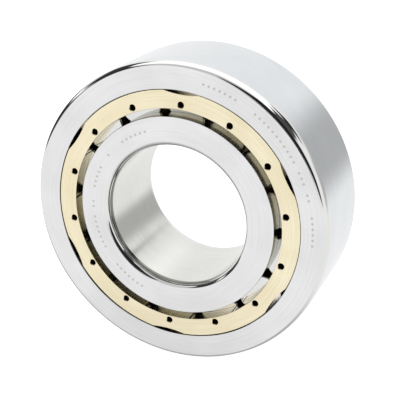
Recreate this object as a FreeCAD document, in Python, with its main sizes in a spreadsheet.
import FreeCAD, Part
import math
import os
import Sketcher

# Single-row cylindrical roller bearing for a 70 mm shaft, 150 mm outside and 51 mm wide.
# The outer ring has a rib on each side of its raceway and the inner ring has one rib, at the
# front, so the rings take thrust one way only. Fourteen rollers run in a machined cage made
# of two pieces: a comb, which is the front ring with its bars, and a cover that closes it at
# the back. Studs on the bars' ends pass through the cover and are closed over into it.
#
# Every piece is modelled from the bearing's front face, at y = 0, along +Y, and its Placement
# then moves that face forward by half the width. So the origin lies on the bearing's axis,
# midway between its faces. The axis is Y, +Z is up and the front faces -Y.
#
# The rollers are as large as the pitch circle leaves room for, side by side with the cage's
# bars between them: 22 mm here, on raceways of 89 mm and 133 mm. Ribs and cage follow them.

# (alias, value, meaning); lengths in millimetres, angles in degrees
SIZES = [
    ("bore_diameter", 70, "shaft seat"),
    ("outer_diameter", 150, "housing seat"),
    ("ring_width", 51, "both rings, face to face"),
    ("corner_radius", 2.5, "corners at the bore and at the outside of the rings"),
    ("pitch_offset", 1.04, "pitch circle, wider than midway between the two seats"),
    ("inner_rib_height", 5, "rib of the inner ring, above its raceway"),
    ("outer_rib_height", 4.3, "ribs of the outer ring, inside its raceway"),
    ("rib_chamfer", 0.4, "broken edges of the ribs"),
    ("free_edge_chamfer", 1, "lead at the end of the inner raceway that has no rib"),
    ("relief_width", 1.2, "grinding relief beside a rib, along the axis"),
    ("relief_depth", 0.4, "grinding relief beside a rib, below the raceway"),
    ("roller_count", 14, "rollers, and pockets in the cage"),
    ("roller_length", 34, "rollers"),
    ("roller_edge_radius", 0.8, "rounded ends of the rollers"),
    ("radial_play", 0.08, "on the diameter, between the rollers and both raceways"),
    ("end_play", 0.1, "between a roller and the two ribs that guide it"),
    ("cage_recess", 0.4, "cage behind the rings' faces, at each side"),
    ("cage_running_gap", 0.3, "radial gap between the cage and the ribs it runs in"),
    ("cage_inner_gap", 3.7, "radial gap between the cage and the inner ring's rib"),
    ("bar_thickness", 2.3087, "bars of the cage where they are narrowest, on the pitch circle"),
    ("cage_chamfer", 0.3, "broken edges of the cage's rings"),
    ("pocket_gap", 0.2, "radial gap between a roller and its pocket"),
    ("pocket_end_gap", 0.2, "between each end of a roller and its pocket"),
    ("pilot_diameter", 3, "hole that the boring tool's pilot leaves in the front ring"),
    ("pilot_lead", 0.25, "countersink at the mouth of the pilot hole"),
    ("flat_count", 6, "milled flats that let oil past the cage"),
    ("flat_depth", 1.35, "flats below the cage's outside"),
    ("flat_cutter_width", 40, "milling cutter, wider than a flat"),
    ("stud_diameter", 3, "rivet studs on the bars' ends"),
    ("stud_cover", 0.3, "metal between a closed stud head and a flat"),
    ("stud_hole_gap", 0.05, "radial gap between a stud and its hole"),
    ("stud_head_flare", 0.6, "closed stud head: wider than the stud, and deep, by this"),
    ("cage_turn", 3.6, "first pocket, from straight up towards +X"),
]

# Sizes that several pieces share, worked out from the driving sizes
HALF_WIDTH = "(sizes.ring_width / 2)"
ROLLERS = "floor(sizes.roller_count)"
PITCH_DIAMETER = "((sizes.bore_diameter + sizes.outer_diameter) / 2 + sizes.pitch_offset)"
PITCH_RADIUS = "(" + PITCH_DIAMETER + " / 2)"
ROLLER_SPACING = "(" + PITCH_DIAMETER + " * sin(180 deg / " + ROLLERS + "))"
POCKET_RADIUS = "((" + ROLLER_SPACING + " - sizes.bar_thickness) / 2)"
ROLLER_RADIUS = "(" + POCKET_RADIUS + " - sizes.pocket_gap)"
INNER_RACE = "(" + PITCH_RADIUS + " - " + ROLLER_RADIUS + " - sizes.radial_play / 4)"
OUTER_RACE = "(" + PITCH_RADIUS + " + " + ROLLER_RADIUS + " + sizes.radial_play / 4)"
INNER_RIB = "(" + INNER_RACE + " + sizes.inner_rib_height)"
OUTER_RIB = "(" + OUTER_RACE + " - sizes.outer_rib_height)"
RIB_WIDTH = "((sizes.ring_width - sizes.roller_length - sizes.end_play) / 2)"
CAGE_OUTSIDE = "(" + OUTER_RIB + " - sizes.cage_running_gap)"
CAGE_INSIDE = "(" + INNER_RIB + " + sizes.cage_inner_gap)"
CAGE_FRONT = "sizes.cage_recess"
CAGE_BACK = "(sizes.ring_width - sizes.cage_recess)"
POCKET_FRONT = "((sizes.ring_width - sizes.roller_length) / 2 - sizes.pocket_end_gap)"
POCKET_BACK = "((sizes.ring_width + sizes.roller_length) / 2 + sizes.pocket_end_gap)"
PILOT_RADIUS = "(sizes.pilot_diameter / 2)"
FLAT_HEIGHT = "(" + CAGE_OUTSIDE + " - sizes.flat_depth)"
STUD_RADIUS = "(sizes.stud_diameter / 2)"
STUD_HEAD_RADIUS = "(" + STUD_RADIUS + " + sizes.stud_head_flare)"
STUD_CIRCLE = "(" + FLAT_HEIGHT + " - sizes.stud_cover - " + STUD_HEAD_RADIUS + ")"
STUD_ANGLE = "(180 / " + ROLLERS + ")"
STUD_HEAD_START = "(" + CAGE_BACK + " - sizes.stud_head_flare)"

FLARE_ANGLE = 45
RIGHT_ANGLE = 90
FULL_TURN = 360
TOUCHING = 1e-6

doc = FreeCAD.newDocument("cylindrical_roller_bearing")


def write_sheet():
    """Put the driving sizes into the document's spreadsheet, one row each."""
    sheet = doc.addObject("Spreadsheet::Sheet", "sizes")
    for row, (alias, value, meaning) in enumerate(SIZES, start=1):
        sheet.set("A%d" % row, alias)
        sheet.set("B%d" % row, str(value))
        sheet.set("C%d" % row, meaning)
        sheet.setAlias("B%d" % row, alias)
    doc.recompute()
    return sheet


sheet = write_sheet()


def number(expression):
    """The present value of an expression in the sheet's sizes."""
    return float(sheet.evalExpression(expression.replace("sizes.", "")))


def new_body(label):
    """An empty body whose front face will lie at the bearing's front face."""
    body = doc.addObject("PartDesign::Body", label)
    body.Label = label
    body.setExpression("Placement.Base.y", "-" + HALF_WIDTH)
    return body


def origin_feature(body, role):
    """One of a body's own origin planes or axes."""
    return next(item for item in body.Origin.OriginFeatures if item.Role == role)


def new_sketch(body, name, role, depth="0"):
    """A sketch on a body's own plane; on the XZ plane, depth is its distance along +Y."""
    sketch = body.newObject("Sketcher::SketchObject", name)
    sketch.AttachmentSupport = [(origin_feature(body, role), "")]
    sketch.MapMode = "FlatFace"
    if depth != "0":
        sketch.setExpression("AttachmentOffset.Base.z", "-" + depth)
    return sketch


def bind(sketch, constraint, expression):
    """Add a dimension to a sketch and tie it to the sheet."""
    index = sketch.addConstraint(constraint)
    sketch.setExpression("Constraints[%d]" % index, expression)


def ring_sketch(body, name, corners):
    """A closed outline of straight steps on the XY plane: (radius, distance from the front)."""
    sketch = new_sketch(body, name, "XY_Plane")
    places = [FreeCAD.Vector(number(radius), number(depth), 0) for radius, depth in corners]
    for index, place in enumerate(places):
        following = places[(index + 1) % len(places)]
        sketch.addGeometry(Part.LineSegment(place, following), False)
    origin_point, horizontal_axis, vertical_axis = (-1, 1), -1, -2
    for index, (radius, depth) in enumerate(corners):
        following = (index + 1) % len(corners)
        sketch.addConstraint(Sketcher.Constraint("Coincident", index, 2, following, 1))
        if radius == corners[following][0]:
            sketch.addConstraint(Sketcher.Constraint("Vertical", index))
            kind, expression, axis = "DistanceX", radius, vertical_axis
        else:
            sketch.addConstraint(Sketcher.Constraint("Horizontal", index))
            kind, expression, axis = "DistanceY", depth, horizontal_axis
        if expression == "0":
            sketch.addConstraint(Sketcher.Constraint("PointOnObject", index, 1, axis))
        else:
            size = Sketcher.Constraint(kind, *origin_point, index, 1, number(expression))
            bind(sketch, size, expression)
    return sketch


def circle_sketch(body, name, radius, angle, circle_radius, depth):
    """A circle on the XZ plane, its centre at an angle from +Z towards +X."""
    sketch = new_sketch(body, name, "XZ_Plane", depth)
    up = FreeCAD.Vector(0, number(radius), 0)
    turn = FreeCAD.Rotation(FreeCAD.Vector(0, 0, 1), -number(angle))
    centre = turn.multVec(up)
    sketch.addGeometry(Part.LineSegment(FreeCAD.Vector(), centre), True)
    circle = Part.Circle(centre, FreeCAD.Vector(0, 0, 1), number(circle_radius))
    sketch.addGeometry(circle, False)
    spoke, round_hole, vertical_axis = 0, 1, -2
    sketch.addConstraint(Sketcher.Constraint("Coincident", -1, 1, spoke, 1))
    sketch.addConstraint(Sketcher.Constraint("Coincident", spoke, 2, round_hole, 3))
    bind(sketch, Sketcher.Constraint("Distance", spoke, number(radius)), radius)
    if angle == "0":
        sketch.addConstraint(Sketcher.Constraint("PointOnObject", spoke, 2, vertical_axis))
    else:
        slope = math.radians(RIGHT_ANGLE - number(angle))
        bind(sketch, Sketcher.Constraint("Angle", spoke, slope),
             "(%d - %s) * 1 deg" % (RIGHT_ANGLE, angle))
    bind(sketch, Sketcher.Constraint("Radius", round_hole, number(circle_radius)), circle_radius)
    return sketch


def revolve(body, sketch, name):
    """Turn an outline once round the bearing's axis."""
    feature = body.newObject("PartDesign::Revolution", name)
    feature.Profile = sketch
    feature.ReferenceAxis = (sketch, ["V_Axis"])
    feature.Angle = FULL_TURN
    doc.recompute()
    return feature


def add_or_cut(body, sketch, kind, name, length=None, backward=True, flare=False):
    """Pad or pocket a sketch of the XZ plane towards the back, or towards the front."""
    feature = body.newObject("PartDesign::" + kind, name)
    feature.Profile = sketch
    if length is None:
        feature.Type = "ThroughAll"
    else:
        feature.setExpression("Length", length)
    along_normal = kind == "Pad"
    feature.Reversed = backward == along_normal
    if flare:
        feature.TaperAngle = FLARE_ANGLE
    doc.recompute()
    return feature


def repeat(body, features, name, count):
    """Repeat features evenly round the bearing's axis."""
    pattern = body.newObject("PartDesign::PolarPattern", name)
    pattern.Originals = features
    pattern.Axis = (origin_feature(body, "Y_Axis"), [""])
    pattern.Angle = FULL_TURN
    pattern.setExpression("Occurrences", count)
    body.Tip = pattern
    doc.recompute()
    return pattern


def rims(feature, places):
    """The names of a feature's circular edges at the given (radius, distance from the front)."""
    wanted = [(number(radius), number(depth)) for radius, depth in places]
    names = []
    for index, edge in enumerate(feature.Shape.Edges, start=1):
        if not isinstance(edge.Curve, Part.Circle):
            continue
        rim = (edge.Curve.Radius, edge.Curve.Center.y)
        for radius, depth in wanted:
            if abs(rim[0] - radius) < TOUCHING and abs(rim[1] - depth) < TOUCHING:
                names.append("Edge%d" % index)
    if len(names) != len(wanted):
        raise ValueError("%s: %d of %d rims found" % (feature.Name, len(names), len(wanted)))
    return names


def dress(body, feature, kind, name, places, size):
    """Fillet or chamfer the rims of a turned piece."""
    dressed = body.newObject("PartDesign::" + kind, name)
    dressed.Base = (feature, rims(feature, places))
    dressed.setExpression("Radius" if kind == "Fillet" else "Size", size)
    doc.recompute()
    return dressed


def outer_ring():
    """Turned ring: housing seat outside, raceway between two ribs inside."""
    body = new_body("outer_ring")
    outside = "(sizes.outer_diameter / 2)"
    relief = "(" + OUTER_RACE + " + sizes.relief_depth)"
    front_rib = RIB_WIDTH
    front_relief = "(" + front_rib + " + sizes.relief_width)"
    back_rib = "(sizes.ring_width - " + front_rib + ")"
    back_relief = "(" + back_rib + " - sizes.relief_width)"
    back = "sizes.ring_width"
    outline = ring_sketch(body, "outer_ring_outline", [
        (outside, "0"),
        (outside, back),
        (OUTER_RIB, back),
        (OUTER_RIB, back_rib),
        (relief, back_rib),
        (relief, back_relief),
        (OUTER_RACE, back_relief),
        (OUTER_RACE, front_relief),
        (relief, front_relief),
        (relief, front_rib),
        (OUTER_RIB, front_rib),
        (OUTER_RIB, "0"),
    ])
    ring = revolve(body, outline, "outer_ring_turned")
    ring = dress(body, ring, "Fillet", "outer_ring_corners",
                 [(outside, "0"), (outside, back)], "sizes.corner_radius")
    rib_edges = [(OUTER_RIB, depth) for depth in ("0", front_rib, back_rib, back)]
    dress(body, ring, "Chamfer", "outer_ring_rib_edges", rib_edges, "sizes.rib_chamfer")
    return body


def inner_ring():
    """Turned ring: shaft seat inside, raceway outside with one rib, at the front."""
    body = new_body("inner_ring")
    bore = "(sizes.bore_diameter / 2)"
    relief = "(" + INNER_RACE + " - sizes.relief_depth)"
    rib_back = RIB_WIDTH
    relief_back = "(" + rib_back + " + sizes.relief_width)"
    back = "sizes.ring_width"
    outline = ring_sketch(body, "inner_ring_outline", [
        (bore, "0"),
        (bore, back),
        (INNER_RACE, back),
        (INNER_RACE, relief_back),
        (relief, relief_back),
        (relief, rib_back),
        (INNER_RIB, rib_back),
        (INNER_RIB, "0"),
    ])
    ring = revolve(body, outline, "inner_ring_turned")
    ring = dress(body, ring, "Fillet", "inner_ring_corners",
                 [(bore, "0"), (bore, back)], "sizes.corner_radius")
    ring = dress(body, ring, "Chamfer", "inner_ring_rib_edges",
                 [(INNER_RIB, "0"), (INNER_RIB, rib_back)], "sizes.rib_chamfer")
    dress(body, ring, "Chamfer", "inner_ring_lead", [(INNER_RACE, back)],
          "sizes.free_edge_chamfer")
    return body


def cage_ring(label, front, back, chamfered_face):
    """The turned blank of one of the cage's two pieces."""
    body = new_body(label)
    body.Placement.Rotation = FreeCAD.Rotation(FreeCAD.Vector(0, 1, 0), 1)
    body.setExpression("Placement.Rotation.Angle", "sizes.cage_turn")
    outline = ring_sketch(body, label + "_outline", [
        (CAGE_OUTSIDE, front),
        (CAGE_OUTSIDE, back),
        (CAGE_INSIDE, back),
        (CAGE_INSIDE, front),
    ])
    ring = revolve(body, outline, label + "_turned")
    edges = [(CAGE_OUTSIDE, chamfered_face), (CAGE_INSIDE, chamfered_face)]
    dress(body, ring, "Chamfer", label + "_edges", edges, "sizes.cage_chamfer")
    return body


def mill_flats(body):
    """Flats on the cage's outside; the first is over the first pocket."""
    sketch = new_sketch(body, body.Label + "_flat_outline", "XZ_Plane")
    width = "sizes.flat_cutter_width"
    clear = "(sizes.outer_diameter / 2)"
    low, high, half = number(FLAT_HEIGHT), number(clear), number(width) / 2
    corners = [(-half, low), (half, low), (half, high), (-half, high)]
    for index, (across, up) in enumerate(corners):
        following = corners[(index + 1) % len(corners)]
        line = Part.LineSegment(FreeCAD.Vector(across, up, 0), FreeCAD.Vector(*following, 0))
        sketch.addGeometry(line, False)
    for index in range(len(corners)):
        following = (index + 1) % len(corners)
        sketch.addConstraint(Sketcher.Constraint("Coincident", index, 2, following, 1))
    bottom, right, top, left = range(len(corners))
    vertical_axis = -2
    sketch.addConstraint(Sketcher.Constraint("Symmetric", bottom, 1, bottom, 2, vertical_axis))
    sketch.addConstraint(Sketcher.Constraint("Vertical", right))
    sketch.addConstraint(Sketcher.Constraint("Horizontal", top))
    sketch.addConstraint(Sketcher.Constraint("Vertical", left))
    bind(sketch, Sketcher.Constraint("DistanceX", bottom, 1, bottom, 2, 2 * half), width)
    bind(sketch, Sketcher.Constraint("DistanceY", -1, 1, bottom, 1, low), FLAT_HEIGHT)
    bind(sketch, Sketcher.Constraint("DistanceY", -1, 1, top, 1, high), clear)
    flat = add_or_cut(body, sketch, "Pocket", body.Label + "_flat")
    repeat(body, [flat], body.Label + "_flats", "sizes.flat_count")


def cage_comb():
    """Front ring and bars: round pockets open at the back, and a rivet stud on each bar."""
    body = cage_ring("cage_comb", CAGE_FRONT, POCKET_BACK, CAGE_FRONT)
    bored = circle_sketch(body, "pocket_outline", PITCH_RADIUS, "0", POCKET_RADIUS, POCKET_FRONT)
    pocket = add_or_cut(body, bored, "Pocket", "pocket")
    drilled = circle_sketch(body, "pilot_outline", PITCH_RADIUS, "0", PILOT_RADIUS, CAGE_FRONT)
    pilot = add_or_cut(body, drilled, "Pocket", "pilot", POCKET_FRONT)
    lead_floor = "(" + CAGE_FRONT + " + sizes.pilot_lead)"
    mouth = circle_sketch(body, "pilot_mouth", PITCH_RADIUS, "0", PILOT_RADIUS, lead_floor)
    lead = add_or_cut(body, mouth, "Pocket", "pilot_lead_cut", "sizes.pilot_lead",
                      backward=False, flare=True)
    repeat(body, [pocket, pilot, lead], "pockets", ROLLERS)
    mill_flats(body)
    shank = circle_sketch(body, "stud_outline", STUD_CIRCLE, STUD_ANGLE, STUD_RADIUS, POCKET_BACK)
    stud = add_or_cut(body, shank, "Pad", "stud", "(" + CAGE_BACK + " - " + POCKET_BACK + ")")
    neck = circle_sketch(body, "stud_neck", STUD_CIRCLE, STUD_ANGLE, STUD_RADIUS, STUD_HEAD_START)
    head = add_or_cut(body, neck, "Pad", "stud_head", "sizes.stud_head_flare", flare=True)
    repeat(body, [stud, head], "studs", ROLLERS)
    return body


def cage_cover():
    """Back ring: a countersunk hole for each stud of the comb."""
    body = cage_ring("cage_cover", POCKET_BACK, CAGE_BACK, CAGE_BACK)
    mill_flats(body)
    hole_radius = "(" + STUD_RADIUS + " + sizes.stud_hole_gap)"
    drilled = circle_sketch(body, "stud_hole_outline", STUD_CIRCLE, STUD_ANGLE, hole_radius,
                            POCKET_BACK)
    hole = add_or_cut(body, drilled, "Pocket", "stud_hole")
    neck = circle_sketch(body, "countersink_neck", STUD_CIRCLE, STUD_ANGLE, STUD_RADIUS,
                         STUD_HEAD_START)
    sink = add_or_cut(body, neck, "Pocket", "countersink", "sizes.stud_head_flare", flare=True)
    repeat(body, [hole, sink], "stud_holes", ROLLERS)
    return body


def roller(index):
    """One roller in its pocket, counted from the first pocket towards +X."""
    body = new_body("roller_%02d" % (index + 1))
    length = "sizes.roller_length"
    outline = ring_sketch(body, body.Label + "_outline", [
        ("0", "0"),
        ("0", length),
        (ROLLER_RADIUS, length),
        (ROLLER_RADIUS, "0"),
    ])
    turned = revolve(body, outline, body.Label + "_turned")
    ends = [(ROLLER_RADIUS, "0"), (ROLLER_RADIUS, length)]
    dress(body, turned, "Fillet", body.Label + "_ends", ends, "sizes.roller_edge_radius")
    angle = "((sizes.cage_turn + %d * 360 / %s) * 1 deg)" % (index, ROLLERS)
    body.setExpression("Placement.Base.x", PITCH_RADIUS + " * sin" + angle)
    body.setExpression("Placement.Base.y", "-sizes.roller_length / 2")
    body.setExpression("Placement.Base.z", PITCH_RADIUS + " * cos" + angle)
    return body


def check(pieces):
    """Stop if any object failed to build, or any piece isn't one valid solid."""
    for item in doc.Objects:
        if "Invalid" in item.State or "Error" in item.State:
            raise RuntimeError("%s: %s" % (item.Name, item.State))
    for piece in pieces:
        shape = piece.Shape
        if shape.isNull() or not shape.isValid() or len(shape.Solids) != 1:
            raise RuntimeError("%s has no single valid solid" % piece.Label)
        print("%-12s %10.2f mm3" % (piece.Label, shape.Volume))


def write_steps(pieces):
    """Write each piece to its own STEP file, named after its label."""
    os.makedirs("parts", exist_ok=True)
    for piece in pieces:
        piece.Shape.exportStep("parts/%s.step" % piece.Label)


pieces = [outer_ring(), inner_ring(), cage_comb(), cage_cover()]
pieces += [roller(index) for index in range(int(number(ROLLERS)))]
doc.recompute()
check(pieces)
write_steps(pieces)
